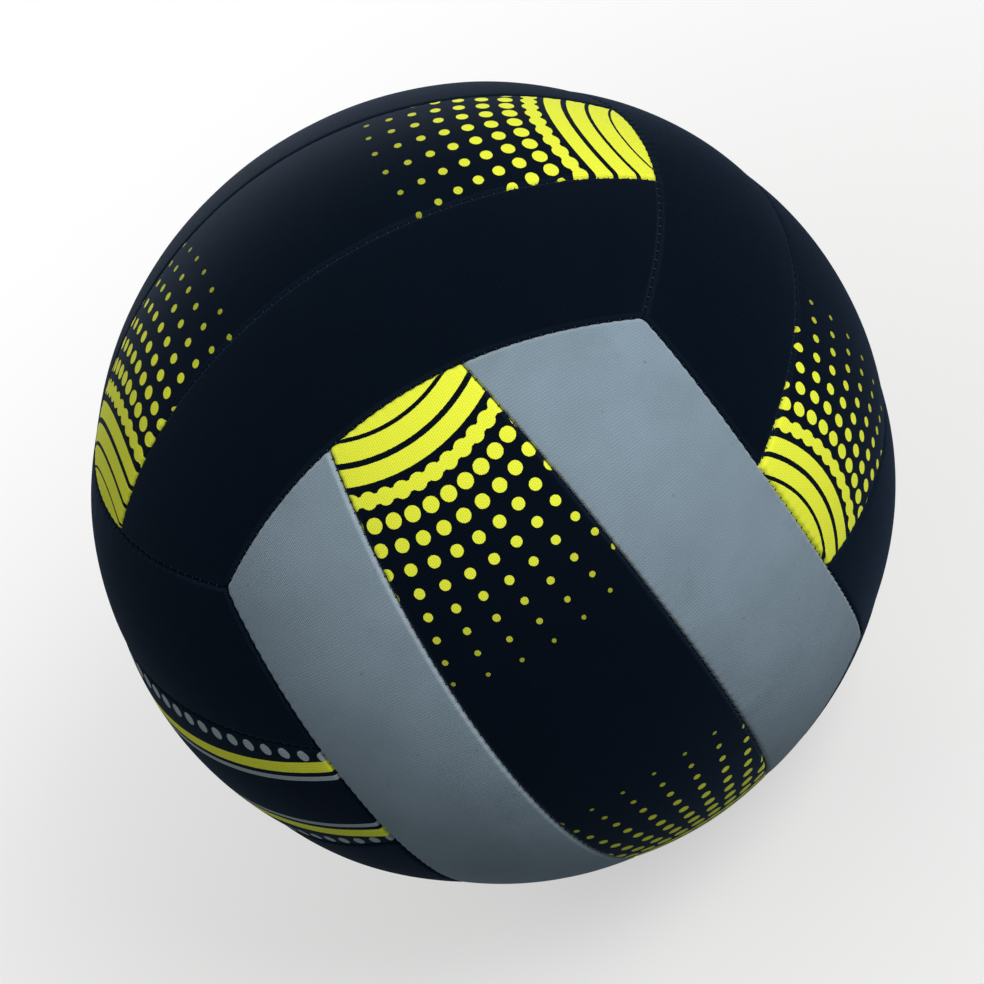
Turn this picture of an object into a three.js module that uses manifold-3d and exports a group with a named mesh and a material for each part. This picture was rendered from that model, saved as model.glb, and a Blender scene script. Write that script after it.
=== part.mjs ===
// Pool volleyball: eighteen sewn foam-rubber panels over a rubber bladder with an inflation valve.
// Units are millimetres. The origin is the ball's centre. +Z is the middle of the top three strips,
// -Y the middle of the front three, and the valve faces +Y.
//
// The cover is laid out like a cube: six square faces of three strips each. The strips of
// neighbouring faces run at right angles, so a face's strip ends meet the long side of the next
// face's outer strip. A direction on the ball is written in its face's own frame as (s, t, n):
// s along the strips, t across them and n out of the face.

import * as THREE from "three";
import { mergeVertices } from "three/addons/utils/BufferGeometryUtils.js";
import Module from "manifold-3d";

// The ball.
const BALL_RADIUS = 105; // at the crown of the panels, 660 mm round
const FIT_GAP = 0.3; // clearance between pieces that rest on each other

// The seam layout.
const MIDDLE_STRIP_WIDTH = 55; // at the middle of its length
const MIDDLE_STRIP_END_WIDTH = 38; // where it meets the next face
const FACE_EDGE_BOW = 13; // how far strip ends bulge past the straight edge between two faces
const SEAM_GAP = 0.4; // between the folded edges of two panels

// One panel.
const PANEL_THICKNESS = 2.5; // foam rubber with knitted cloth on both sides
const SEAM_SINK = 0.8; // how far the sewn edges are pulled below the crown
const EDGE_ROUND = 2; // outside radius of the folded edge
const HEM_WIDTH = 5; // edge turned under and lying flat inside
const HEM_THICKNESS = 2.5;
const HEM_SKIVE = 1.2; // slope at the free edge of the hem
const END_CROWN_POWER = 6; // the crown is long and flat along the strip

// The bladder and its valve.
const BLADDER_WALL = 1;
const VALVE_RECESS = 1; // face of the valve below the crown of the cover
const BOSS_RADIUS = 4.8; // rubber boss that stands in the cover's valve hole
const BOSS_TUBE_RADIUS = 5; // the same boss inside the bladder
const BOSS_TUBE_LENGTH = 16; // from the bladder's outside inwards
const BOSS_FLANGE_RADIUS = 16;
const BOSS_FLANGE_THICKNESS = 1.3;
const BOSS_FLANGE_RIM = 0.6;
const BOSS_FILLET = 1;
const PATCH_THICKNESS = 0.8; // cloth patch that backs the valve hole
const PLUG_SHANK_RADIUS = 2.6;
const PLUG_HEAD_RADIUS = 3.5;
const PLUG_HEAD_THICKNESS = 1.2;
const PLUG_BEAD_RADIUS = 3.4; // bead that locks the plug in the boss
const PLUG_BEAD_HEIGHT = 2.4;
const PLUG_BEAD_DEPTH = 9; // middle of the bead below the valve's face
const PLUG_TIP_LENGTH = 3; // bare end of the plug past the boss
const NEEDLE_RADIUS = 0.8; // channel for an inflation needle
const NEEDLE_FUNNEL_RADIUS = 1.7;
const NEEDLE_FUNNEL_DEPTH = 1.2;
const NEEDLE_STOP = 5; // solid rubber left below the channel, slit and self-closing

// How finely the curves are cut.
const FACET_LENGTH = 16;
const CROSS_FACETS = 4;
const ROUND_STEPS = 2;
const BLADDER_SEGMENTS = 32;
const VALVE_SEGMENTS = 24;
const SOLVER_STEPS = 40;
const SETTLE_STEPS = 24;

// A facet's middle lies below the true curve by its sagitta, so a piece inside keeps clear of it.
const sagitta = (chord, radius) => (chord * chord) / (8 * radius);
const FACET_DIP = 2 * sagitta(FACET_LENGTH, BALL_RADIUS);

const PANEL_INSIDE = BALL_RADIUS - PANEL_THICKNESS;
const HEM_INSIDE = PANEL_INSIDE - SEAM_SINK - HEM_THICKNESS;
const BLADDER_RADIUS = HEM_INSIDE - FACET_DIP / 2 - FIT_GAP;
const VALVE_FACE = BALL_RADIUS - VALVE_RECESS;
const VALVE_HOLE_RADIUS = BOSS_RADIUS + FIT_GAP;
const HEM_CLEAR_WIDTH = MIDDLE_STRIP_WIDTH / 2 - HEM_WIDTH - HEM_SKIVE; // between the hems, each side
const PATCH_RADIUS = (HEM_CLEAR_WIDTH * HEM_INSIDE) / BALL_RADIUS - FIT_GAP;

const material = (color, roughness) => new THREE.MeshStandardMaterial({ color, roughness, metalness: 0 });
const BLACK_KNIT = material(0x10161f, 0.85);
const GREY_KNIT = material(0x7d8790, 0.85);
const BUTYL = material(0x1d1d1f, 0.6);
const VALVE_RUBBER = material(0x2a2a2c, 0.55);
const PATCH_CLOTH = material(0xc9c5b8, 0.9);

/** Finds where f changes sign between lo, where it is negative, and hi. */
function solve(f, lo, hi) {
  let [a, b] = [lo, hi];
  for (let step = 0; step < SOLVER_STEPS; step++) {
    const middle = (a + b) / 2;
    if (f(middle) < 0) a = middle;
    else b = middle;
  }
  return (a + b) / 2;
}

/** Unit direction (s, t, n) at an angle along the strips and an angle across them. */
const direction = (along, across) =>
  new THREE.Vector3(
    Math.sin(along) * Math.cos(across),
    Math.sin(across),
    Math.cos(along) * Math.cos(across),
  );

/** The angle by which the seam between two faces bows, at a share along that edge's own axis. */
const bowAngle = (share) => (FACE_EDGE_BOW / BALL_RADIUS) * (1 - 3 * share * share);

/** Angle across the strips at which the face ends along its long side. */
function longSide(along) {
  const past = (across) => {
    const d = direction(along, across);
    return Math.asin((d.y - d.z) / Math.SQRT2) + bowAngle(d.x);
  };
  return solve(past, 0, Math.PI / 3);
}

/** Angle along the strips at which they end against the next face. */
function stripEnd(across) {
  const past = (along) => {
    const d = direction(along, across);
    return Math.asin((d.x - d.z) / Math.SQRT2) - bowAngle(d.y);
  };
  return solve(past, 0, Math.PI / 2);
}

const MIDDLE_STRIP_END = stripEnd(MIDDLE_STRIP_END_WIDTH / 2 / BALL_RADIUS);

/** Angle across the strips of the seam between the middle strip and an outer one. */
function stripSeam(along) {
  const narrowing = (along / MIDDLE_STRIP_END) ** 2;
  const width = MIDDLE_STRIP_WIDTH - (MIDDLE_STRIP_WIDTH - MIDDLE_STRIP_END_WIDTH) * narrowing;
  return width / 2 / BALL_RADIUS;
}

const STRIPS = {
  middle: { low: (along) => -stripSeam(along), high: stripSeam },
  outer: { low: stripSeam, high: longSide },
};

/**
 * Lines that cross a panel from one edge to the other. Each has a share of the panel's width, an
 * inset from the edge in millimetres, and a depth below the crown surface.
 */
function stations(edgeLines, facets) {
  const last = edgeLines[edgeLines.length - 1];
  const near = edgeLines.map(({ inset, depth }) => ({ share: 0, inset, depth }));
  const far = edgeLines.map(({ inset, depth }) => ({ share: 1, inset: -inset, depth })).reverse();
  const between = [];
  for (let i = 1; i < facets; i++) {
    const share = i / facets;
    between.push({ share, inset: last.inset * (1 - 2 * share), depth: last.depth });
  }
  return [...near, ...between, ...far];
}

/** The rounded outside of a folded edge, from the seam to the crown surface. */
function foldLines() {
  const lines = [];
  for (let i = 0; i <= ROUND_STEPS; i++) {
    const turn = (i / ROUND_STEPS) * (Math.PI / 2);
    lines.push({
      inset: SEAM_GAP / 2 + EDGE_ROUND * (1 - Math.cos(turn)),
      depth: EDGE_ROUND * (1 - Math.sin(turn)),
    });
  }
  return lines;
}

/** The hem on the inside: flat from the seam, then a skived slope up to the panel. */
function hemLines() {
  const hemDepth = PANEL_THICKNESS + HEM_THICKNESS;
  return [
    { inset: SEAM_GAP / 2, depth: hemDepth },
    { inset: HEM_WIDTH, depth: hemDepth },
    { inset: HEM_WIDTH + HEM_SKIVE, depth: PANEL_THICKNESS },
  ];
}

/** Depth where two crossing lines each have one, so that a corner is as deep as its edges. */
function crossDepth(a, b, shallow, deep) {
  const left = ((deep - a) / (deep - shallow)) * ((deep - b) / (deep - shallow));
  return deep - (deep - shallow) * left;
}

/** One surface of a panel, as rows of points: columns run along the strip, rows across it. */
function panelSurface(strip, alongLines, acrossLines, shallow, deep) {
  return acrossLines.map((row) =>
    alongLines.map((column) => {
      let along = 0;
      let across = 0;
      for (let step = 0; step < SETTLE_STEPS; step++) {
        const [low, high] = [strip.low(along), strip.high(along)];
        across = low + (high - low) * row.share + row.inset / BALL_RADIUS;
        const reach = stripEnd(across);
        const inset = column.inset / (BALL_RADIUS * Math.cos(across));
        along = reach * (2 * column.share - 1) + inset;
      }
      const endCrown = (2 * column.share - 1) ** END_CROWN_POWER;
      const sideCrown = (2 * row.share - 1) ** 2;
      const sunk = SEAM_SINK * (1 - (1 - endCrown) * (1 - sideCrown));
      const depth = sunk + crossDepth(column.depth, row.depth, shallow, deep);
      return direction(along, across).multiplyScalar(BALL_RADIUS - depth);
    }),
  );
}

/** Joins an outside and an inside surface of the same grid into one closed body. */
function closedShell(outside, inside) {
  const rows = outside.length;
  const columns = outside[0].length;
  const points = [...outside.flat(), ...inside.flat()];
  const out = (r, c) => r * columns + c;
  const inn = (r, c) => rows * columns + r * columns + c;
  const faces = [];
  const quad = (a, b, c, d) => faces.push(a, b, c, a, c, d);
  for (let r = 0; r + 1 < rows; r++) {
    for (let c = 0; c + 1 < columns; c++) {
      quad(out(r, c), out(r, c + 1), out(r + 1, c + 1), out(r + 1, c));
      quad(inn(r, c), inn(r + 1, c), inn(r + 1, c + 1), inn(r, c + 1));
    }
  }
  for (let c = 0; c + 1 < columns; c++) {
    quad(out(0, c), inn(0, c), inn(0, c + 1), out(0, c + 1));
    quad(out(rows - 1, c), out(rows - 1, c + 1), inn(rows - 1, c + 1), inn(rows - 1, c));
  }
  for (let r = 0; r + 1 < rows; r++) {
    quad(out(r, 0), out(r + 1, 0), inn(r + 1, 0), inn(r, 0));
    quad(out(r, columns - 1), inn(r, columns - 1), inn(r + 1, columns - 1), out(r + 1, columns - 1));
  }
  const geometry = new THREE.BufferGeometry().setFromPoints(points);
  geometry.setIndex(faces);
  geometry.computeVertexNormals();
  return geometry;
}

/** A panel with its folded edges and its hem, in its face's frame. */
function panelGeometry(strip) {
  const length = 2 * BALL_RADIUS * stripEnd((strip.low(0) + strip.high(0)) / 2);
  const alongFacets = Math.max(4, Math.round(length / FACET_LENGTH));
  const fold = foldLines();
  const hem = hemLines();
  const outside = panelSurface(
    strip,
    stations(fold, alongFacets),
    stations(fold, CROSS_FACETS),
    0,
    EDGE_ROUND,
  );
  const inside = panelSurface(
    strip,
    stations(hem, alongFacets + ROUND_STEPS - 2),
    stations(hem, CROSS_FACETS + ROUND_STEPS - 2),
    PANEL_THICKNESS,
    PANEL_THICKNESS + HEM_THICKNESS,
  );
  return closedShell(outside, inside);
}

const wasm = await Module();
wasm.setup();

/** A closed geometry as a solid that can be cut. */
function solidOf(geometry) {
  const bare = geometry.clone();
  bare.deleteAttribute("normal");
  bare.deleteAttribute("uv");
  const merged = mergeVertices(bare, 1e-4);
  const vertProperties = new Float32Array(merged.attributes.position.array);
  const triVerts = new Uint32Array(merged.index.array);
  return new wasm.Manifold(new wasm.Mesh({ numProp: 3, vertProperties, triVerts }));
}

/** A cut solid back as a geometry. */
function geometryOf(solid) {
  const mesh = solid.getMesh();
  const geometry = new THREE.BufferGeometry();
  geometry.setAttribute("position", new THREE.BufferAttribute(mesh.vertProperties, 3));
  geometry.setIndex(new THREE.BufferAttribute(mesh.triVerts, 1));
  geometry.computeVertexNormals();
  return geometry;
}

/** The panel with a round hole for the valve through its middle. */
function piercedPanel(geometry) {
  const drill = new THREE.CylinderGeometry(
    VALVE_HOLE_RADIUS,
    VALVE_HOLE_RADIUS,
    BALL_RADIUS,
    VALVE_SEGMENTS,
  );
  drill.rotateX(Math.PI / 2);
  drill.translate(0, 0, BALL_RADIUS);
  return geometryOf(solidOf(geometry).subtract(solidOf(drill)));
}

/** Points of an arc about the ball's centre, from one distance off the valve's axis to another. */
function axisArc(radius, from, to, steps) {
  const [start, end] = [from, to].map((distance) => Math.asin(distance / radius));
  const points = [];
  for (let i = 0; i <= steps; i++) {
    const angle = start + ((end - start) * i) / steps;
    points.push(new THREE.Vector2(radius * Math.sin(angle), radius * Math.cos(angle)));
  }
  return points;
}

/** Height above the ball's centre of a point on a sphere at a distance off the valve's axis. */
const heightOn = (radius, distance) => Math.sqrt(radius * radius - distance * distance);

/** The bladder: a thin sphere with a round opening for the valve. */
function bladderGeometry() {
  const ball = (radius) => solidOf(new THREE.SphereGeometry(radius, BLADDER_SEGMENTS, BLADDER_SEGMENTS / 2));
  const mouth = BOSS_TUBE_RADIUS + FIT_GAP;
  const drill = new THREE.CylinderGeometry(mouth, mouth, BLADDER_RADIUS, VALVE_SEGMENTS);
  drill.translate(0, BLADDER_RADIUS, 0);
  const shell = ball(BLADDER_RADIUS).subtract(ball(BLADDER_RADIUS - BLADDER_WALL));
  return geometryOf(shell.subtract(solidOf(drill)));
}

/** The boss: a flange on the bladder, a stub in the cover's hole and a tube inside. */
function bossGeometry() {
  const base = BLADDER_RADIUS + FIT_GAP;
  const foot = BLADDER_RADIUS - BOSS_TUBE_LENGTH;
  const bore = PLUG_SHANK_RADIUS + FIT_GAP;
  const pocket = PLUG_HEAD_RADIUS + FIT_GAP;
  const pocketFloor = VALVE_FACE - PLUG_HEAD_THICKNESS - FIT_GAP;
  const groove = PLUG_BEAD_RADIUS + FIT_GAP;
  const grooveMiddle = VALVE_FACE - PLUG_BEAD_DEPTH;
  const grooveHalf = PLUG_BEAD_HEIGHT / 2 + FIT_GAP;
  const flangeTop = heightOn(base + BOSS_FLANGE_THICKNESS, BOSS_RADIUS + BOSS_FILLET);
  const at = (x, y) => new THREE.Vector2(x, y);
  return new THREE.LatheGeometry(
    [
      at(bore, foot),
      at(bore, grooveMiddle - grooveHalf),
      at(groove, grooveMiddle),
      at(bore, grooveMiddle + grooveHalf),
      at(bore, pocketFloor),
      at(pocket, pocketFloor),
      at(pocket, VALVE_FACE),
      at(BOSS_RADIUS, VALVE_FACE),
      at(BOSS_RADIUS, flangeTop + BOSS_FILLET),
      at(BOSS_RADIUS + BOSS_FILLET, flangeTop),
      at(BOSS_FLANGE_RADIUS, heightOn(base + BOSS_FLANGE_RIM, BOSS_FLANGE_RADIUS)),
      ...axisArc(base, BOSS_FLANGE_RADIUS, BOSS_TUBE_RADIUS, 4),
      at(BOSS_TUBE_RADIUS, foot),
      at(bore, foot),
    ].reverse(),
    VALVE_SEGMENTS,
  );
}

/** The plug: head, shank with a locking bead, and a blind channel for the needle. */
function plugGeometry() {
  const tip = BLADDER_RADIUS - BOSS_TUBE_LENGTH - PLUG_TIP_LENGTH;
  const headUnderside = VALVE_FACE - PLUG_HEAD_THICKNESS;
  const beadMiddle = VALVE_FACE - PLUG_BEAD_DEPTH;
  const at = (x, y) => new THREE.Vector2(x, y);
  return new THREE.LatheGeometry(
    [
      at(0, tip),
      at(PLUG_SHANK_RADIUS / 2, tip),
      at(PLUG_SHANK_RADIUS, tip + PLUG_TIP_LENGTH / 2),
      at(PLUG_SHANK_RADIUS, beadMiddle - PLUG_BEAD_HEIGHT / 2),
      at(PLUG_BEAD_RADIUS, beadMiddle),
      at(PLUG_SHANK_RADIUS, beadMiddle + PLUG_BEAD_HEIGHT / 2),
      at(PLUG_SHANK_RADIUS, headUnderside),
      at(PLUG_HEAD_RADIUS, headUnderside),
      at(PLUG_HEAD_RADIUS, VALVE_FACE),
      at(NEEDLE_FUNNEL_RADIUS, VALVE_FACE),
      at(NEEDLE_RADIUS, VALVE_FACE - NEEDLE_FUNNEL_DEPTH),
      at(NEEDLE_RADIUS, tip + NEEDLE_STOP),
      at(0, tip + NEEDLE_STOP),
    ],
    VALVE_SEGMENTS,
  );
}

/** How far the inside of the middle strip falls with its crown, at a distance off the valve's axis. */
const crownFall = (distance) => SEAM_SINK * (distance / (MIDDLE_STRIP_WIDTH / 2)) ** 2;

/** The patch: a cloth ring bonded inside the cover round the valve hole, following its crown. */
function patchGeometry() {
  const inner = VALVE_HOLE_RADIUS + BOSS_FILLET;
  const facets = 4;
  const side = (depth) => {
    const points = [];
    for (let i = 0; i <= facets; i++) {
      const distance = inner + ((PATCH_RADIUS - inner) * i) / facets;
      const radius = PANEL_INSIDE - FACET_DIP - FIT_GAP - crownFall(distance) - depth;
      points.push(new THREE.Vector2(distance, heightOn(radius, distance)));
    }
    return points;
  };
  const upper = side(0);
  const lower = side(PATCH_THICKNESS);
  return new THREE.LatheGeometry([upper[0], ...lower, ...upper.reverse()], VALVE_SEGMENTS);
}

const X = new THREE.Vector3(1, 0, 0);
const Y = new THREE.Vector3(0, 1, 0);
const Z = new THREE.Vector3(0, 0, 1);
const reverse = (axis) => axis.clone().negate();

// Each face with its outward normal, the way its strips run, and what its two outer strips are
// called: the first lies towards normal x run, the second away from it.
const FACES = [
  { name: "front", normal: reverse(Y), run: Z, outer: ["left", "right"], cloth: GREY_KNIT },
  { name: "back", normal: Y, run: Z, outer: ["right", "left"], cloth: GREY_KNIT },
  { name: "top", normal: Z, run: X, outer: ["back", "front"], cloth: BLACK_KNIT },
  { name: "bottom", normal: reverse(Z), run: X, outer: ["front", "back"], cloth: BLACK_KNIT },
  { name: "right", normal: X, run: Y, outer: ["upper", "lower"], cloth: BLACK_KNIT },
  { name: "left", normal: reverse(X), run: Y, outer: ["lower", "upper"], cloth: BLACK_KNIT },
];
const VALVE_FACE_NAME = "back";

const middlePanel = panelGeometry(STRIPS.middle);
const outerPanel = panelGeometry(STRIPS.outer);

function named(name, geometry, finish) {
  const mesh = new THREE.Mesh(geometry, finish);
  mesh.name = name;
  return mesh;
}

/** One face of the cover: a middle strip and two outer strips, turned to where it belongs. */
function coverFace({ name, normal, run, outer, cloth }) {
  const face = new THREE.Group();
  const across = normal.clone().cross(run);
  face.quaternion.setFromRotationMatrix(new THREE.Matrix4().makeBasis(run, across, normal));
  const middle = name === VALVE_FACE_NAME ? piercedPanel(middlePanel) : middlePanel;
  face.add(named(`${name}_middle_panel`, middle, BLACK_KNIT));
  outer.forEach((side, i) => {
    const panel = named(`${name}_${side}_panel`, outerPanel, cloth);
    panel.rotation.z = i * Math.PI;
    face.add(panel);
  });
  return face;
}

const ball = new THREE.Group();
ball.name = "pool_volleyball";
FACES.forEach((face) => ball.add(coverFace(face)));
ball.add(named("bladder", bladderGeometry(), BUTYL));
ball.add(named("valve_boss", bossGeometry(), VALVE_RUBBER));
ball.add(named("valve_plug", plugGeometry(), VALVE_RUBBER));
ball.add(named("valve_patch", patchGeometry(), PATCH_CLOTH));

export default ball;
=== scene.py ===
"""Dresses the pool volleyball: sewn jersey panels, printed strips, seam thread, valve and studio.

Everything is in metres in the part's own frame. The origin is the ball's centre, +Z is the middle
of the top strips, -Y the middle of the front strips, and the valve faces +Y. A place on the cover
is written in its face's frame, as an angle along the strips and an angle across them.
"""
import logging
import math
from dataclasses import astuple, dataclass, field
from enum import Enum

import bmesh
import bpy
import numpy as np
from mathutils import Matrix, Vector


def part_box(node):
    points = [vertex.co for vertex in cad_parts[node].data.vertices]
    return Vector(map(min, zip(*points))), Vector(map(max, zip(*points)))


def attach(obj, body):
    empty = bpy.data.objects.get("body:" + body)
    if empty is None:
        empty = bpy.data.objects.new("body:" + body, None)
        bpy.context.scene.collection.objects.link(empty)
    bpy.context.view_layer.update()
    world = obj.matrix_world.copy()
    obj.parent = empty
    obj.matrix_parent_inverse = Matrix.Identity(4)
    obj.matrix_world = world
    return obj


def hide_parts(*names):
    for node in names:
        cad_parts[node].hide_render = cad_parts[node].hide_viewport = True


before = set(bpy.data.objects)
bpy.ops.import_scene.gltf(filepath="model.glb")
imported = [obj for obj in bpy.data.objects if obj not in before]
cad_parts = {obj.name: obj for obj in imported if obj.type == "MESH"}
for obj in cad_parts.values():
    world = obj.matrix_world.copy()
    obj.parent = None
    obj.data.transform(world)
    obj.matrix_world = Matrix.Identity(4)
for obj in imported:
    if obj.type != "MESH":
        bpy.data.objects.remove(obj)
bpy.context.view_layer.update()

# Short names for the types that many signatures use
Tree = bpy.types.NodeTree
Node = bpy.types.Node
Socket = bpy.types.NodeSocket
Array = np.ndarray
Arrays = tuple[np.ndarray, np.ndarray]
Span = tuple[float, float]
Feed = Node | Socket | float | tuple

# Units, files and measures that everything shares
LOG = logging.getLogger("volleyball")
MM = 0.001
BODY = "root"
BALL_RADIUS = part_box("top_middle_panel")[1].z

# Rounds in which angles that depend on each other settle
ROUNDS = 10


def linear(hex_colour: str) -> tuple[float, float, float, float]:
    """Turns an sRGB hex colour into linear values.

    Args:
        hex_colour: Six hex digits, such as "D9E52A".

    Returns:
        Red, green and blue in linear light, and an alpha of 1.
    """
    channels = [int(hex_colour[i : i + 2], 16) / 255 for i in (0, 2, 4)]
    curve = [c / 12.92 if c <= 0.04045 else ((c + 0.055) / 1.055) ** 2.4 for c in channels]
    return (curve[0], curve[1], curve[2], 1.0)


def add_node(tree: Tree, kind: str, feeds: dict | None = None, **settings: str) -> Node:
    """Adds a node with its settings and what feeds its inputs.

    Args:
        tree: The node tree to add to.
        kind: The node's type, such as "ShaderNodeMath".
        feeds: Input name or index to a node or socket that feeds it, or to the value it holds.
        **settings: Properties of the node.

    Returns:
        The new node.
    """
    node = tree.nodes.new(kind)
    for name, value in settings.items():
        setattr(node, name, value)
    for key, value in (feeds or {}).items():
        if isinstance(key, int):
            socket = node.inputs[key]
        else:
            socket = next(s for s in node.inputs if s.name == key and s.enabled)
        if isinstance(value, Node):
            value = next(s for s in value.outputs if s.enabled)
        if isinstance(value, Socket):
            tree.links.new(value, socket)
        else:
            socket.default_value = value
    return node


def calc(tree: Tree, operation: str, *inputs: Feed) -> Node:
    """Adds a Math node with its inputs in order."""
    return add_node(tree, "ShaderNodeMath", dict(enumerate(inputs)), operation=operation)


def remap(
    tree: Tree,
    value: Node | Socket,
    before: Span = (0.0, 1.0),
    after: Span = (0.0, 1.0),
    smooth: bool = False,
) -> Node:
    """Adds a node that carries a value from one range to another and holds it there.

    Args:
        tree: The node tree to add to.
        value: What gives the value.
        before: The range that it comes from.
        after: The range that it goes to.
        smooth: Whether it eases in and out.

    Returns:
        The new node.
    """
    feeds = {"Value": value, "From Min": before[0], "From Max": before[1]}
    feeds |= {"To Min": after[0], "To Max": after[1]}
    curve = "SMOOTHSTEP" if smooth else "LINEAR"
    return add_node(tree, "ShaderNodeMapRange", feeds, interpolation_type=curve)


def blend(tree: Tree, share: Feed, first: Feed, second: Feed, kind: str = "RGBA") -> Node:
    """Adds a node that goes from the first colour or value to the second as the share rises."""
    return add_node(tree, "ShaderNodeMix", {"Factor": share, "A": first, "B": second}, data_type=kind)


def shaded(tree: Tree, colour: Feed, level: Feed) -> Node:
    """Adds a node that multiplies a colour by a level."""
    feeds = {"Factor": 1.0, "A": colour, "B": level}
    return add_node(tree, "ShaderNodeMix", feeds, data_type="RGBA", blend_type="MULTIPLY")


def from_origin(tree: Tree, first: Feed, second: Feed) -> Node:
    """Adds the distance from the origin to the point that two values give."""
    point = add_node(tree, "ShaderNodeCombineXYZ", {0: first, 1: second})
    return add_node(tree, "ShaderNodeVectorMath", {0: point}, operation="LENGTH")


def object_place(tree: Tree) -> Socket:
    """Adds the place in the object's own coordinates."""
    return add_node(tree, "ShaderNodeTexCoord").outputs["Object"]


def noise(tree: Tree, spot: Socket, size: float, **feeds: float) -> Socket:
    """Adds a noise whose features have a size, with other inputs by name."""
    return add_node(tree, "ShaderNodeTexNoise", {"Vector": spot, "Scale": 1 / size, **feeds}).outputs["Fac"]


def map_place(tree: Tree, name: str) -> tuple[Socket, Socket]:
    """Adds the pair of numbers that a UV map holds.

    Args:
        tree: The node tree to add to.
        name: The UV map's name.

    Returns:
        The first and the second number.
    """
    both = add_node(tree, "ShaderNodeUVMap", uv_map=name)
    split = add_node(tree, "ShaderNodeSeparateXYZ", {0: both})
    return split.outputs["X"], split.outputs["Y"]


def finish_surface(tree: Tree, looks: dict, relief: tuple[float, float, Feed] | None = None) -> None:
    """Adds a surface, with relief if it has any, and joins it to the output.

    Args:
        tree: The material's node tree.
        looks: Input name of the surface to what feeds it or the value it holds.
        relief: The relief's strength, its depth, and what gives its height from 0 to 1.
    """
    if relief:
        feeds = dict(zip(("Strength", "Distance", "Height"), relief))
        looks = looks | {"Normal": add_node(tree, "ShaderNodeBump", feeds)}
    surface = add_node(tree, "ShaderNodeBsdfPrincipled", looks)
    add_node(tree, "ShaderNodeOutputMaterial", {"Surface": surface})


def new_material(name: str) -> tuple[bpy.types.Material, Tree]:
    """Makes an empty node material.

    Args:
        name: The material's name.

    Returns:
        The material and its node tree, with no nodes in it.
    """
    material = bpy.data.materials.new(name)
    material.use_nodes = True
    material.node_tree.nodes.clear()
    return material, material.node_tree


def closed_mesh(build: bmesh.types.BMesh, name: str) -> bpy.types.Mesh:
    """Turns a finished bmesh into a mesh and frees it.

    Args:
        build: The bmesh.
        name: The mesh's name.

    Returns:
        The mesh.
    """
    mesh = bpy.data.meshes.new(name)
    build.to_mesh(mesh)
    build.free()
    return mesh


def new_piece(name: str, mesh: bpy.types.Mesh, material: bpy.types.Material) -> bpy.types.Object:
    """Makes a smooth-shaded object from a mesh that is already in place.

    Args:
        name: The object's name.
        mesh: Its mesh, in the part's frame.
        material: Its material.

    Returns:
        The object, linked to the scene.
    """
    mesh.name = name
    mesh.shade_smooth()
    mesh.materials.append(material)
    piece = bpy.data.objects.new(name, mesh)
    bpy.context.scene.collection.objects.link(piece)
    return piece


def report_piece(piece: bpy.types.Object) -> None:
    """Logs a piece with its size and triangles.

    Args:
        piece: The piece.
    """
    piece.data.calc_loop_triangles()
    size = " x ".join(f"{side / MM:.1f}" for side in piece.dimensions)
    LOG.info("%s: %s mm, %d triangles", piece.name, size, len(piece.data.loop_triangles))


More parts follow.
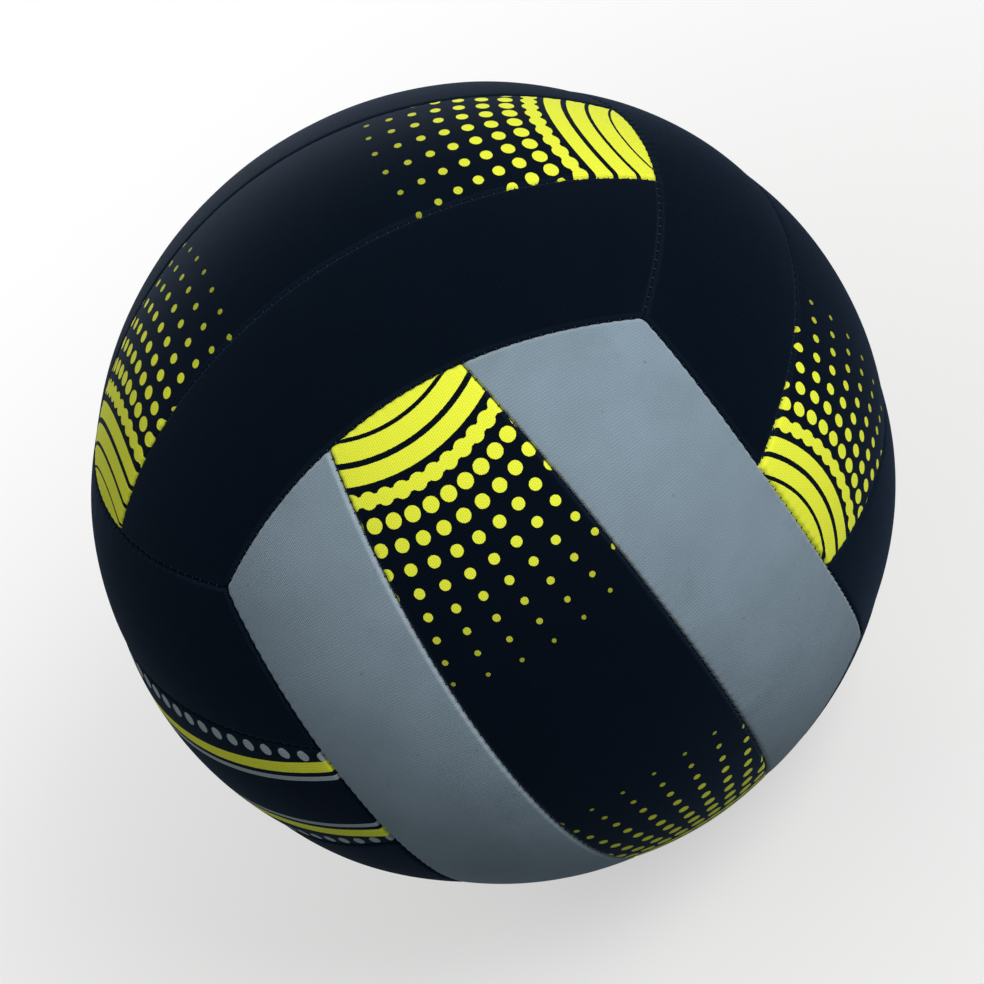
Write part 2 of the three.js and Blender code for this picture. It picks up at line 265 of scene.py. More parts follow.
@dataclass(frozen=True)
class KnitFinish:
    """Polyester jersey bonded to foam rubber: matte, with fine columns of V-shaped loops.

    The loops break up any highlight, so only a faint sheen shows towards the rim. The dyed cloth is
    slightly uneven over a few centimetres, carries a painted highlight where it turns over a fold,
    has painted shade between its loops and a painted highlight on them, and carries small dark
    specks and faint smudges from handling.

    Attributes:
        name: The material's name.
        colour: The dyed cloth, as sRGB hex.
        fold_highlight: The cloth where it turns over a fold, paler as a painted highlight, as sRGB hex.
        speck: Specks and smudges, as sRGB hex.
        sheen: Weight of the sheen from loose fibre.
        sheen_tint: Tint of the sheen, as sRGB hex.
        roughness: Roughness of the yarn.
        gloss: Specular level of the yarn, low because loose loops hardly mirror.
        wale: Width of a column of loops. A real jersey's is 0.7 mm, too fine for the render, so it
            is drawn at one and a half times that.
        course: Height of a loop, drawn larger in the same way.
        relief: Depth between loops.
        shade: Painted shade between loops and painted highlight on them: how dark the cloth is
        between loops, and how bright on them.
        mottle: Size of the uneven patches of dye.
        dye: How dark and how bright those patches are.
        fold_highlight_band: Distances from the seam, in millimetres, between which the painted
        highlight along the fold goes from none to full.
        speck_pitch: Distance between specks.
        speck_size: A speck's rim and its core, as shares of that distance.
        smudge: Size of the smudges.
        dirt: How strong the specks and the smudges are.
    """

    name: str
    colour: str
    fold_highlight: str
    speck: str
    sheen: float
    sheen_tint: str
    roughness: float = 0.85
    gloss: float = 0.08
    wale: float = 1.05 * MM
    course: float = 0.85 * MM
    relief: float = 0.06 * MM
    shade: Span = (0.8, 1.06)
    mottle: float = 16 * MM
    dye: Span = (0.93, 1.06)
    fold_highlight_band: Span = (1.5, 0.6)
    speck_pitch: float = 7 * MM
    speck_size: Span = (0.09, 0.03)
    smudge: float = 30 * MM
    dirt: Span = (0.3, 0.22)

    def loops(self, tree: Tree) -> Node:
        """Adds the jersey's loops on the panel's cloth map, which is in millimetres.

        Args:
            tree: The material's node tree.

        Returns:
            A node that gives 1 on the yarn and falls to 0 between loops.
        """
        leg = self.wale / MM / 2
        along, across = map_place(tree, "cloth")
        legs = calc(tree, "PINGPONG", across, leg)
        slant = calc(tree, "ADD", along, legs)
        turns = math.tau / (self.course / MM)
        phase = calc(tree, "MULTIPLY", slant, turns)
        wave = calc(tree, "SINE", phase)
        loop = remap(tree, wave, (-1.0, 0.6), (0.3, 1.0), smooth=True)
        off_middle = calc(tree, "SUBTRACT", legs, leg / 2)
        off_middle = calc(tree, "ABSOLUTE", off_middle)
        round_leg = remap(tree, off_middle, (leg / 2, leg / 6), smooth=True)
        return calc(tree, "MULTIPLY", round_leg, loop)

    def cloth_colour(self, tree: Tree, loops: Node) -> Node:
        """Adds the cloth's colour, with uneven dye, a painted highlight along the folds, specks, smudges,
        and painted shade between loops with a painted highlight on them.

        Args:
            tree: The material's node tree.
            loops: The node with the loops' height, from 0 to 1.

        Returns:
            The node that gives the colour.
        """
        spot = object_place(tree)
        dye = noise(tree, spot, self.mottle, Detail=4.0)
        tone = remap(tree, dye, (0.3, 0.7), self.dye)
        # Painted shade in the hollows between loops, and painted highlight on the loops.
        shade = remap(tree, loops, after=self.shade)
        level = calc(tree, "MULTIPLY", tone, shade)
        # Painted highlight: the cloth turns paler close to the seam, where it is folded over.
        seam = add_node(tree, "ShaderNodeAttribute", attribute_name="seam_distance")
        fold_highlight_band = remap(tree, seam.outputs["Fac"], self.fold_highlight_band, smooth=True)
        yarn = blend(tree, fold_highlight_band, linear(self.colour), linear(self.fold_highlight))
        # This colour holds the dye's tone with the painted shade and the painted highlights.
        dyed = shaded(tree, yarn, level)
        specks = add_node(tree, "ShaderNodeTexVoronoi", {"Vector": spot, "Scale": 1 / self.speck_pitch})
        speck = remap(tree, specks.outputs["Distance"], self.speck_size, (0.0, self.dirt[0]))
        rubs = noise(tree, spot, self.smudge, Detail=5.0, Roughness=0.6, Distortion=0.6)
        smudge = remap(tree, rubs, (0.58, 0.75), (0.0, self.dirt[1]))
        dirt = calc(tree, "MAXIMUM", speck, smudge)
        return blend(tree, dirt, dyed, linear(self.speck))

    def surface(self, tree: Tree, colour: Node, height: Node, roughness: Node | float) -> None:
        """Adds the surface itself, with the knit as relief, and joins it to the output.

        Args:
            tree: The material's node tree.
            colour: The node that gives the colour.
            height: The node that gives the relief, from 0 to 1.
            roughness: A node, or one value for the whole surface.
        """
        looks = {
            "Base Color": colour,
            "Roughness": roughness,
            "Specular IOR Level": self.gloss,
            "Sheen Weight": self.sheen,
            "Sheen Roughness": 0.5,
            "Sheen Tint": linear(self.sheen_tint),
        }
        finish_surface(tree, looks, (0.7, self.relief, height))

    def plain(self) -> bpy.types.Material:
        """Makes the material of an unprinted panel.

        Returns:
            The material.
        """
        material, tree = new_material(self.name)
        loops = self.loops(tree)
        self.surface(tree, self.cloth_colour(tree, loops), loops, self.roughness)
        return material


@dataclass(frozen=True)
class InkFinish:
    """Screen-printed plastisol ink: flat and bright, and it half fills the knit below.

    Attributes:
        colour: The ink, as sRGB hex.
        thin: The ink where the cloth grins through between loops, as sRGB hex.
        roughness: Roughness of the cured ink.
        fill: How high the ink stands in the knit's hollows and on its loops, as shares of their depth.
        hollow: Height of the loops below which the ink is thin.
        wander: How far the ink's edge strays over the loops.
        grain: Size of the steps in which it strays.
        softness: Half width of its soft edge.
    """

    colour: str
    thin: str
    roughness: float = 0.6
    fill: Span = (0.5, 1.2)
    hollow: float = 0.4
    wander: float = 0.09 * MM
    grain: float = 0.8 * MM
    softness: float = 0.05 * MM

    def cover(self, tree: Tree, depth: Node) -> Node:
        """Adds where the ink lies, with a slightly ragged edge.

        Args:
            tree: The material's node tree.
            depth: The node that gives how far inside the ink a point lies, in millimetres.

        Returns:
            A node that gives 1 on the ink and 0 off it.
        """
        stray = noise(tree, object_place(tree), self.grain)
        reach = self.wander / MM
        edge = remap(tree, stray, after=(-reach, reach))
        ragged = calc(tree, "ADD", depth, edge)
        soft = self.softness / MM
        return remap(tree, ragged, (-soft, soft), smooth=True)

    def ink_colour(self, tree: Tree, loops: Node) -> Node:
        """Adds the ink's colour, thinner in the hollows of the knit.

        Args:
            tree: The material's node tree.
            loops: The node with the loops' height, from 0 to 1.

        Returns:
            The node that gives the colour.
        """
        hollow = remap(tree, loops, (self.hollow, 0.0))
        return blend(tree, hollow, linear(self.colour), linear(self.thin))


@dataclass(frozen=True)
class Register:
    """How far the print at one end of a strip lies off its place, as on cut and sewn cloth.

    Attributes:
        along: Shift towards that end of the strip.
        across: Shift across the strip.
        turn: Turn of the rays about their centre, in radians.
        stretch: Length of the print there as a share of the drawn one, as the jersey was pulled.
        widen: Its width in the same way.
    """

    along: float = 0.0
    across: float = 0.0
    turn: float = 0.0
    stretch: float = 1.0
    widen: float = 1.0


@dataclass(frozen=True)
class EndPrint:
    """Arcs of halftone dots at both ends of a strip, about a centre past the seam.

    The dots grow towards the seam, run into each other, and end as solid bands. The panel's print
    map holds the arc's number and the ray's number at each point.

    Attributes:
        ink: The ink.
        centre: How far the arcs' centre lies from the middle of the strip.
        first_arc: Radius of arc 1.
        arc_pitch: Distance between arcs.
        last_arc: Number of the last arc that has dots.
        ray_pitch: Angle between rays, in radians.
        dot: Diameter that a dot on arc 0 would have.
        shrink: How much smaller the dots are on each further arc.
        faint: How many arcs before the last one the dots start to be printed thinner, and how many
            past it no ink would be left.
        band: Half width of the solid band at arc 0, and how much it falls with each arc towards the
            seam.
        merge: Half width of the neck between dots at arc 0, and how much it falls with each arc away
            from the seam.
    """

    ink: InkFinish
    centre: float = 122 * MM
    first_arc: float = 46.9 * MM
    arc_pitch: float = 6.11 * MM
    last_arc: int = 9
    ray_pitch: float = math.radians(5.38)
    dot: float = 4.75 * MM
    shrink: float = 0.4 * MM
    faint: Span = (3.5, 2.5)
    band: Span = (2.2 * MM, -0.2 * MM)
    merge: Span = (2.9 * MM, -1.6 * MM)

    def place(self, along: Array, across: Array, registers: tuple[Register, Register]) -> Array:
        """Finds the arc and the ray of each point of a strip. The cloth was printed flat.

        Args:
            along: Distances along the strip from its middle.
            across: Distances across it from its centre line.
            registers: How far the print lies off its place at the strip's start and at its end.

        Returns:
            One row of arc number and ray number for each point.
        """
        shift, middle, turn, stretch, widen = (
            np.where(along < 0, at_start, at_end) for at_start, at_end in zip(*map(astuple, registers))
        )
        reach = (self.centre + shift - np.abs(along)) / stretch
        sideways = (across - middle) / widen
        arc = (np.hypot(reach, sideways) - self.first_arc) / self.arc_pitch + 1
        ray = (np.arctan2(sideways, reach) + turn) / self.ray_pitch
        return np.column_stack([arc, ray])

    def inks(self, tree: Tree) -> list[tuple[InkFinish, Node, Node]]:
        """Adds where the ink lies.

        Args:
            tree: The material's node tree.

        Returns:
            The ink, the node that gives how far inside it a point lies, in millimetres, and the node
            that gives how much ink is there.
        """
        arc_place, ray_place = map_place(tree, "print")
        arc = calc(tree, "ROUND", arc_place)
        ray = calc(tree, "ROUND", ray_place)
        past_arc = calc(tree, "SUBTRACT", arc_place, arc)
        past_ray = calc(tree, "SUBTRACT", ray_place, ray)
        pitch, before_first = self.arc_pitch / MM, self.first_arc / MM - self.arc_pitch / MM
        outward = calc(tree, "MULTIPLY", past_arc, pitch)
        turn = self.ray_pitch
        ray_gap = calc(tree, "MULTIPLY_ADD", arc_place, pitch * turn, before_first * turn)
        sideways = calc(tree, "MULTIPLY", past_ray, ray_gap)
        away = from_origin(tree, outward, sideways)
        radius = calc(tree, "MULTIPLY_ADD", arc, -self.shrink / MM / 2, self.dot / MM / 2 + 1)
        dotted = calc(tree, "COMPARE", arc, (1 + self.last_arc) / 2, self.last_arc / 2)
        radius = calc(tree, "MULTIPLY_ADD", radius, dotted, -1.0)
        in_dot = calc(tree, "SUBTRACT", radius, away)
        lines = [
            calc(tree, "MULTIPLY_ADD", arc, fall / MM, half / MM)
            for half, fall in (self.band, self.merge)
        ]
        half_band = calc(tree, "MINIMUM", lines[0], lines[1])
        off_band = calc(tree, "ABSOLUTE", outward)
        in_band = calc(tree, "SUBTRACT", half_band, off_band)
        inside = calc(tree, "MAXIMUM", in_dot, in_band)
        start, end = self.last_arc - self.faint[0], self.last_arc + self.faint[1]
        amount = remap(tree, arc, (end, start))
        return [(self.ink, inside, amount)]


@dataclass(frozen=True)
class SidePrint:
    """A thin line, a broad band and a row of dots along each long side, with a bare middle.

    The panel's print map holds the distance from the strip's middle along it and across it, in
    millimetres.

    Attributes:
        ink: The band's ink.
        second_ink: The ink of the line and the dots.
        strip: Half width of the strip at its middle and at its ends, and half its length.
        line: Distance of the thin line from the strip's centre line.
        line_width: The line's width.
        band: Distance of the broad band from the strip's centre line.
        band_width: The band's width.
        dots: Share of the strip's half width at which the row of dots lies.
        dot_pitch: Distance between dots.
        dot: Diameter of a dot at the middle of the strip.
        dot_growth: How much a dot grows for each unit of length towards the ends.
    """

    ink: InkFinish
    second_ink: InkFinish
    strip: tuple[float, float, float]
    line: float = 9.7 * MM
    line_width: float = 1.5 * MM
    band: float = 13.6 * MM
    band_width: float = 3.5 * MM
    dots: float = 0.87
    dot_pitch: float = 5.9 * MM
    dot: float = 4.3 * MM
    dot_growth: float = -0.012

    def place(self, along: Array, across: Array, registers: tuple[Register, Register]) -> Array:
        """Gives the print map of each point of a strip. This print is one piece.

        Args:
            along: Distances along the strip from its middle.
            across: Distances across it from its centre line.
            registers: How far the print lies off its place at the strip's start and at its end.

        Returns:
            One row for each point: millimetres along the strip, and across it.
        """
        shift, middle, turn, *_ = astuple(registers[0])
        return np.column_stack([along - shift, across - middle - turn * along]) / MM

    def inks(self, tree: Tree) -> list[tuple[InkFinish, Node, float]]:
        """Adds where the inks lie.

        Args:
            tree: The material's node tree.

        Returns:
            Each ink, the node that gives how far inside it a point lies, in millimetres, and how
            much ink is there.
        """
        along, across = map_place(tree, "print")
        length = calc(tree, "ABSOLUTE", along)
        width = calc(tree, "ABSOLUTE", across)
        stripes = []
        for middle, broad in ((self.line, self.line_width), (self.band, self.band_width)):
            off = calc(tree, "SUBTRACT", width, middle / MM)
            off = calc(tree, "ABSOLUTE", off)
            stripes.append(calc(tree, "SUBTRACT", broad / MM / 2, off))
        at_middle, at_end, reach = (size / MM for size in self.strip)
        square = calc(tree, "MULTIPLY", length, length)
        taper = self.dots * (at_end - at_middle) / reach**2
        row = calc(tree, "MULTIPLY_ADD", square, taper, self.dots * at_middle)
        number = calc(tree, "DIVIDE", along, self.dot_pitch / MM)
        nearest = calc(tree, "ROUND", number)
        past = calc(tree, "SUBTRACT", number, nearest)
        lengthwise = calc(tree, "MULTIPLY", past, self.dot_pitch / MM)
        sideways = calc(tree, "SUBTRACT", width, row)
        away = from_origin(tree, lengthwise, sideways)
        radius = calc(tree, "MULTIPLY_ADD", length, self.dot_growth / 2, self.dot / MM / 2)
        in_dot = calc(tree, "SUBTRACT", radius, away)
        pale = calc(tree, "MAXIMUM", in_dot, stripes[0])
        return [(self.second_ink, pale, 1.0), (self.ink, stripes[1], 1.0)]


def printed_cloth(name: str, cloth: KnitFinish, design: EndPrint | SidePrint) -> bpy.types.Material:
    """Makes the material of a printed panel.

    Args:
        name: The material's name.
        cloth: The jersey below the ink.
        design: Which inks lie where.

    Returns:
        The material.
    """
    material, tree = new_material(name)
    loops = cloth.loops(tree)
    colour = cloth.cloth_colour(tree, loops)
    height = loops
    roughness = None
    for ink, depth, amount in design.inks(tree):
        inked = ink.cover(tree, depth)
        inked = calc(tree, "MULTIPLY", inked, amount)
        colour = blend(tree, inked, colour, ink.ink_colour(tree, loops))
        filled = remap(tree, loops, after=ink.fill)
        height = blend(tree, inked, height, filled, "FLOAT")
        roughness = blend(tree, inked, roughness or cloth.roughness, ink.roughness, "FLOAT")
    cloth.surface(tree, colour, height, roughness)
    return material


@dataclass(frozen=True)
class RubberFinish:
    """Moulded or dipped rubber: dark and slightly waxy, with a fine matte skin and a faint bloom.

    Attributes:
        name: The material's name.
        colour: The rubber, as sRGB hex.
        roughness: Roughness of its skin.
        grain: Size of the skin's grain. The mould's is finer, and this is as coarse as shows.
        bloom: Size of the paler patches of wax.
        shade: How dark and how bright the patches are.
        spread: How far the roughness strays from its mean.
        relief: Depth of the grain.
    """

    name: str
    colour: str
    roughness: float
    grain: float = 0.5 * MM
    bloom: float = 6 * MM
    shade: Span = (0.8, 1.25)
    spread: float = 0.1
    relief: float = 0.03 * MM

    def build(self) -> bpy.types.Material:
        """Makes the rubber's material.

        Returns:
            The material.
        """
        material, tree = new_material(self.name)
        spot = object_place(tree)
        grain = noise(tree, spot, self.grain, Detail=3.0)
        bloom = noise(tree, spot, self.bloom)
        tone = remap(tree, bloom, after=self.shade)
        colour = shaded(tree, linear(self.colour), tone)
        low, high = self.roughness - self.spread, self.roughness + self.spread
        rough = remap(tree, grain, after=(low, high))
        looks = {"Base Color": colour, "Roughness": rough, "Specular IOR Level": 0.2}
        finish_surface(tree, looks, (0.4, self.relief, grain))
        return material


@dataclass(frozen=True)
class WovenFinish:
    """Plain-woven cotton backing cloth: undyed and matte, with square yarns over and under.

    Attributes:
        name: The material's name.
        colour: The yarn, as sRGB hex.
        yarn: Distance between yarns.
        shade: Painted shade between yarns and painted highlight on them: how dark the cloth is
        between yarns, and how bright on them.
        relief: Depth between yarns.
    """

    name: str
    colour: str
    yarn: float = 0.6 * MM
    shade: Span = (0.75, 1.0)
    relief: float = 0.1 * MM

    def build(self) -> bpy.types.Material:
        """Makes the cloth's material.

        Returns:
            The material.
        """
        material, tree = new_material(self.name)
        spot = object_place(tree)
        place = add_node(tree, "ShaderNodeSeparateXYZ", {0: spot})
        waves = []
        for axis in ("X", "Z"):
            phase = calc(tree, "MULTIPLY", place.outputs[axis], math.pi / self.yarn)
            waves.append(calc(tree, "SINE", phase))
        weave = calc(tree, "MULTIPLY", waves[0], waves[1])
        # Painted shade between the yarns and painted highlight on them, from the same weave as the relief.
        shade = remap(tree, weave, (-1.0, 1.0), self.shade)
        colour = shaded(tree, linear(self.colour), shade)
        finish_surface(tree, {"Base Color": colour, "Roughness": 0.9}, (0.5, self.relief, weave))
        return material


@dataclass(frozen=True)
class ThreadFinish:
    """Bonded nylon sewing thread: tightly twisted, with a faint satin gleam deep in the seam.

    Attributes:
        name: The material's name.
        colour: The thread, as sRGB hex.
        twist: Length of one twist.
        shade: How dark and how bright the strands are.
    """

    name: str
    colour: str
    twist: float = 0.35 * MM
    shade: Span = (0.6, 1.25)

    def build(self) -> bpy.types.Material:
        """Makes the thread's material.

        Returns:
            The material.
        """
        material, tree = new_material(self.name)
        strands = noise(tree, object_place(tree), self.twist)
        shade = remap(tree, strands, after=self.shade)
        colour = shaded(tree, linear(self.colour), shade)
        finish_surface(tree, {"Base Color": colour, "Roughness": 0.5, "Specular IOR Level": 0.15})
        return material


class Strip(Enum):
    """Which of a face's strips a panel is."""

    MIDDLE = "middle"
    OUTER = "outer"


@dataclass(frozen=True)
class Face:
    """One of the cover's six faces of three strips.

    Attributes:
        name: The face's name, with which its panels' names start.
        normal: The face's outward direction.
        run: The direction of its strips.
        outer: Names of the outer strips, first the one towards normal x run.
        registers: How far its middle strip's print lies off its place at the strip's start and at
            its end.
        arcs: How many arcs of dots its middle strip's print has.
    """

    name: str
    normal: tuple[int, int, int]
    run: tuple[int, int, int]
    outer: tuple[str, str]
    registers: tuple[Register, Register]
    arcs: int = 9

    def axes(self) -> Array:
        """The face's axes as rows: along the strips, across them, and outwards."""
        normal, run = np.array(self.normal, float), np.array(self.run, float)
        return np.array([run, np.cross(normal, run), normal])


@dataclass(frozen=True)
class SeamPlan:
    """Where the seams run, as in the solids.

    Attributes:
        middle_width: Width of a middle strip at the middle of its length.
        end_width: Its width where it meets the next face.
        bow: How far strip ends bulge past the straight edge between two faces.
        gap: Gap between the folded edges of two panels.
        sink: How far the seams are pulled below the crown.
        crown_power: How flat the crown is along the strip.
        stitch: Length of one stitch.
    """

    middle_width: float = 55 * MM
    end_width: float = 38 * MM
    bow: float = 13 * MM
    gap: float = 0.24 * MM
    sink: float = 0.8 * MM
    crown_power: int = 6
    stitch: float = 2.8 * MM

    def bow_angle(self, share: Array) -> Array:
        """Angle by which the seam between two faces bows, at a share along that edge's own axis."""
        return self.bow / BALL_RADIUS * (1 - 3 * share**2)

    def strip_end(self, across: Array) -> Array:
        """Angle along the strips at which they end against the next face."""
        bow = self.bow_angle(np.sin(across))
        return math.pi / 4 + np.arcsin(np.sin(bow) / np.cos(across))

    def long_side(self, along: Array) -> Array:
        """Finds where the face ends along its long side.

        Args:
            along: Angles along the strips.

        Returns:
            The angle across at each of them.
        """
        slope = np.cos(along)
        across = np.arctan(slope)
        for _ in range(ROUNDS):
            bow = self.bow_angle(np.sin(along) * np.cos(across))
            across = np.arctan(slope) - np.arcsin(math.sqrt(2) * np.sin(bow) / np.hypot(1, slope))
        return across

    def strip_seam(self, along: Array) -> Array:
        """Finds the seam between the middle strip and an outer one.

        Args:
            along: Angles along the strips.

        Returns:
            The angle across at each of them.
        """
        end = self.strip_end(self.end_width / 2 / BALL_RADIUS)
        width = self.middle_width - (self.middle_width - self.end_width) * (along / end) ** 2
        return width / 2 / BALL_RADIUS

    def sides(self, strip: Strip, along: Array) -> Arrays:
        """Angles across the strips of the two long sides of one strip.

        Args:
            strip: Which strip it is.
            along: Angles along the strip.

        Returns:
            The low side and the high side.
        """
        seam = self.strip_seam(along)
        if strip is Strip.MIDDLE:
            return -seam, seam
        return seam, self.long_side(along)

    def direction(self, along: Array, across: Array) -> Array:
        """Unit directions in a face's frame: along the strips, across them and outwards."""
        flat = np.cos(across)
        return np.stack([np.sin(along) * flat, np.sin(across), np.cos(along) * flat], axis=-1)

    def pull(self, cosine: Array) -> Array:
        """How hard the thread pulls at a place on a seam, from 0 between stitches to 1 at one.

        Args:
            cosine: Direction cosine of each place along the seam's own axis, by which the panels
                on both sides of a seam agree on where its stitches are.

        Returns:
            The pull at each place.
        """
        stitches = np.arcsin(np.clip(cosine, -1, 1)) * BALL_RADIUS / self.stitch
        return np.cos(math.pi * stitches) ** 2


@dataclass
class StripCut:
    """The cutting that all panels of one kind share: a fine flat sheet that is closed all round.

    Attributes:
        plan: Where the seams run.
        strip: Which strip it is.
        column: Distance between lines across the strip.
        row: Distance between lines along it.
        edge_round: Outside radius of the folded edge.
        fold_steps: Lines in the fold.
        ease: Distances of the next lines from the fold, before the even ones start.
        hole: Radius of the valve's hole through the middle, or 0.
        rounded: Lines from the hole over which they go from round to straight.
        spread: How fast the first of them open out.
        sheet: The flat mesh.
        outside: Whether each point lies on the outer side.
        along: Angle of each point along the strips.
        across: Angle of each point across the strips.
        low: Angle across the strips of the long side below each point.
        high: The same of the long side above it.
        side: Distance of each point from the nearer long side.
        end: Its distance from the nearer end.
    """

    plan: SeamPlan
    strip: Strip
    column: float = 0.7 * MM
    row: float = 0.9 * MM
    edge_round: float = 1.1 * MM
    fold_steps: int = 5
    ease: tuple[float, ...] = (0.4 * MM, 1.0 * MM)
    hole: float = 0.0
    rounded: int = 4
    spread: float = 1.7
    sheet: bpy.types.Mesh = field(init=False)
    outside: Array = field(init=False)
    along: Array = field(init=False)
    across: Array = field(init=False)
    low: Array = field(init=False)
    high: Array = field(init=False)
    side: Array = field(init=False)
    end: Array = field(init=False)

    def __post_init__(self) -> None:
        """Cuts the sheet."""
        low, high = self.plan.sides(self.strip, np.array(0.0))
        length = 2 * BALL_RADIUS * float(self.plan.strip_end((low + high) / 2))
        columns = self.stations(length, self.column)
        rows = self.stations(BALL_RADIUS * float(high - low), self.row)
        sheet = bmesh.new()
        bmesh.ops.create_grid(sheet, x_segments=len(columns) - 1, y_segments=len(rows) - 1, size=0.5)
        marks = np.array([vertex.co for vertex in sheet.verts])
        column = np.rint((marks[:, 0] + 0.5) * (len(columns) - 1)).astype(int)
        row = np.rint((marks[:, 1] + 0.5) * (len(rows) - 1)).astype(int)
        self.along, self.across = self.settle(columns[column], rows[row])
        if self.hole:
            self.open_hole(sheet, column - len(columns) // 2, row - len(rows) // 2)
        number = sheet.verts.layers.int.new("number")
        for count, vertex in enumerate(sheet.verts):
            vertex[number] = count
        bmesh.ops.solidify(sheet, geom=sheet.faces[:], thickness=self.column)
        order = np.array([vertex[number] for vertex in sheet.verts])
        self.outside = np.array([vertex.co.z > -self.column / 2 for vertex in sheet.verts])
        self.along, self.across = self.along[order], self.across[order]
        sheet.verts.layers.int.remove(number)
        self.sheet = closed_mesh(sheet, f"{self.strip.value}_cutting")
        self.low, self.high = self.plan.sides(self.strip, self.along)
        self.side = BALL_RADIUS * np.minimum(self.across - self.low, self.high - self.across)
        reach = self.plan.strip_end(self.across) - np.abs(self.along)
        self.end = BALL_RADIUS * np.cos(self.across) * reach

    def stations(self, length: float, spacing: float) -> Array:
        """Lines over a panel from one edge to the other: close together in the fold, then even.

        Args:
            length: Size of the panel in this direction.
            spacing: Distance between the even lines.

        Returns:
            One row for each line: its share of the length, and how far it is moved in from there.
        """
        turn = np.linspace(0, math.pi / 2, self.fold_steps)
        fold = self.plan.gap / 2 + self.edge_round * (1 - np.cos(turn))
        near = np.concatenate([fold, fold[-1] + np.array(self.ease)])
        count = 2 * round((length - 2 * near[-1]) / spacing / 2)
        share = np.arange(1, count) / count
        between = np.column_stack([share, near[-1] * (1 - 2 * share)])
        start = np.column_stack([np.zeros_like(near), near])
        end = np.column_stack([np.ones_like(near), -near])[::-1]
        return np.vstack([start, between, end])

    def settle(self, column: Array, row: Array) -> Arrays:
        """Finds the angles of the points where lines cross. Each angle depends on the other.

        Args:
            column: The row of stations() of each point's line across the strip.
            row: The same of its line along the strip.

        Returns:
            The angle along and the angle across of each point.
        """
        along, across = np.zeros(len(column)), np.zeros(len(row))
        for _ in range(2 * ROUNDS):
            low, high = self.plan.sides(self.strip, along)
            across = low + (high - low) * row[:, 0] + row[:, 1] / BALL_RADIUS
            reach = self.plan.strip_end(across)
            along = reach * (2 * column[:, 0] - 1) + column[:, 1] / (BALL_RADIUS * np.cos(across))
        return along, across

    def open_hole(self, sheet: bmesh.types.BMesh, column: Array, row: Array) -> None:
        """Cuts the valve's hole in the flat sheet and rounds the lines about it.

        Args:
            sheet: The flat sheet.
            column: Column number of each point, counted from the middle.
            row: Row number of each point, counted from the middle.
        """
        lines = round(self.hole / self.column), round(self.hole / self.row)
        square = np.column_stack([column, row]) / lines
        ring = np.abs(square).max(axis=1)
        spread = np.where(ring < 2, 1 + np.clip(ring - 1, 0, 1) ** self.spread, ring)
        away = np.maximum(np.hypot(square[:, 0], square[:, 1]), 1e-9)
        share = np.clip((self.rounded - ring) / (self.rounded - 1), 0, 1)
        share = share * share * (3 - 2 * share)
        circle = square * (spread / away * self.hole / BALL_RADIUS)[:, None]
        self.along = self.along * (1 - share) + circle[:, 0] * share
        self.across = self.across * (1 - share) + circle[:, 1] * share
        inside = ring < 1 - 1e-6
        gone = [vertex for vertex, inner in zip(sheet.verts, inside) if inner]
        bmesh.ops.delete(sheet, geom=gone, context="VERTS")
        self.along, self.across = self.along[~inside], self.across[~inside]

    def laid_flat(self) -> Arrays:
        """Opens the folds, so that knit and prints run on over them.

        Returns:
            Where each point lies on the flat cloth, along the strip and across it.
        """
        flat = []
        middle = (self.low + self.high) / 2
        for angle, centre, distance in ((self.along, 0, self.end), (self.across, middle, self.side)):
            turned = np.clip(1 - (distance - self.plan.gap / 2) / self.edge_round, 0, 1)
            taken_up = self.edge_round * (np.arcsin(turned) - turned)
            flat.append(angle * BALL_RADIUS + np.sign(angle - centre) * taken_up)
        return flat[0], flat[1]

    def crown(self) -> Array:
        """Finds how far the sheet lies below the top of the crown.

        Returns:
            The depth of each point.
        """
        half_width = BALL_RADIUS * (self.high - self.low) / 2
        half_length = BALL_RADIUS * np.cos(self.across) * self.plan.strip_end(self.across)
        flat_end = 1 - (1 - self.end / half_length) ** self.plan.crown_power
        flat_side = 1 - (1 - self.side / half_width) ** 2
        return self.plan.sink * (1 - flat_end * flat_side)


